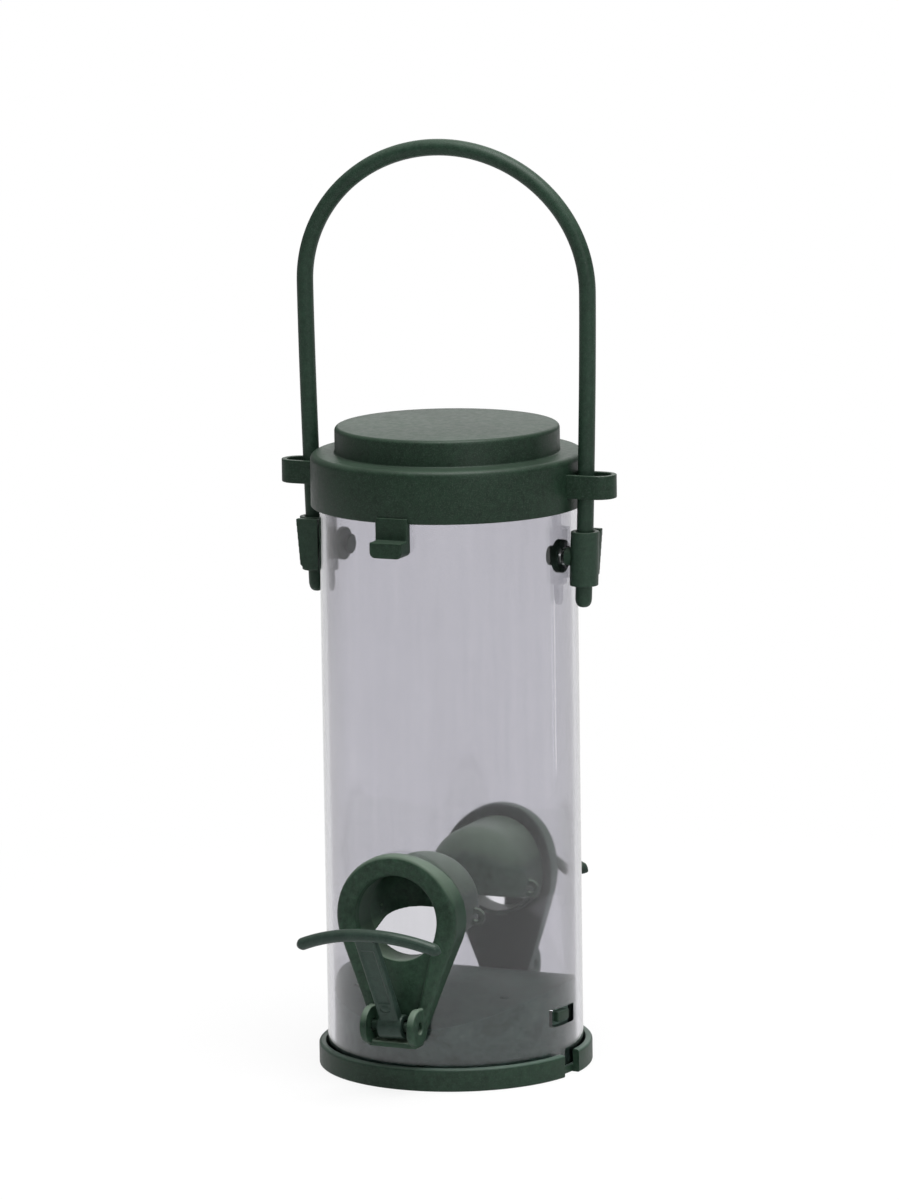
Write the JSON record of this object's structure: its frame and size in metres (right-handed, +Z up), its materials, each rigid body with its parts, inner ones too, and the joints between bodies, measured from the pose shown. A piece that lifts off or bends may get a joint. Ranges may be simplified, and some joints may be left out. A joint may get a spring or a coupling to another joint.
{
  "type": "tube bird feeder",
  "caption": "Hanging tube bird feeder: clear seed tube, moulded base, lid that slides up a bail handle, and teardrop ports with folding T perches.",
  "frame": {"origin": "centre of the base's underside, on the tube's axis", "axes": "+Z up along the tube; -Y towards the port with the lowered perch and the lid's thumb tab; the handle's legs stand at -X and +X"},
  "size_m": [0.0912, 0.0963, 0.2354],
  "materials": {
    "base_green": "matt moulded",
    "tube_clear": "clear, lightly scuffed",
    "lid_green": "matt moulded",
    "handle_green": "matt moulded",
    "left_handle_clip_green": "matt moulded",
    "right_handle_clip_green": "matt moulded",
    "front_port_collar_green": "matt moulded",
    "front_port_hood_green": "matt moulded",
    "front_perch_green": "matt moulded",
    "front_perch_pin_green": "matt moulded",
    "back_port_collar_green": "matt moulded",
    "back_port_hood_green": "matt moulded",
    "back_perch_green": "matt moulded",
    "back_perch_pin_green": "matt moulded"
  },
  "bodies": {
    "feeder": {"base": "base_green", "tube": "tube_clear", "handle": "handle_green", "left_handle_clip": "left_handle_clip_green", "right_handle_clip": "right_handle_clip_green", "front_port_collar": "front_port_collar_green", "front_port_hood": "front_port_hood_green", "front_perch_pin": "front_perch_pin_green", "back_port_collar": "back_port_collar_green", "back_port_hood": "back_port_hood_green", "back_perch_pin": "back_perch_pin_green"},
    "lid": {"lid": "lid_green"},
    "front_perch": {"front_perch": "front_perch_green"},
    "back_perch": {"back_perch": "back_perch_green"}
  },
  "joints": [
    {"name": "lid_slide", "type": "slide", "parent": "feeder", "child": "lid", "axis": [0, 0, 1], "range_m": [0, 0.045]},
    {"name": "front_perch_hinge", "type": "hinge", "parent": "feeder", "child": "front_perch", "pos_m": [0, -0.0381, 0.0172], "axis": [1, 0, 0], "range_deg": [-21.3, 62.3]},
    {"name": "back_perch_hinge", "type": "hinge", "parent": "feeder", "child": "back_perch", "pos_m": [0, 0.0381, 0.0172], "axis": [-1, 0, 0], "range_deg": [0, 83.6]}
  ]
}
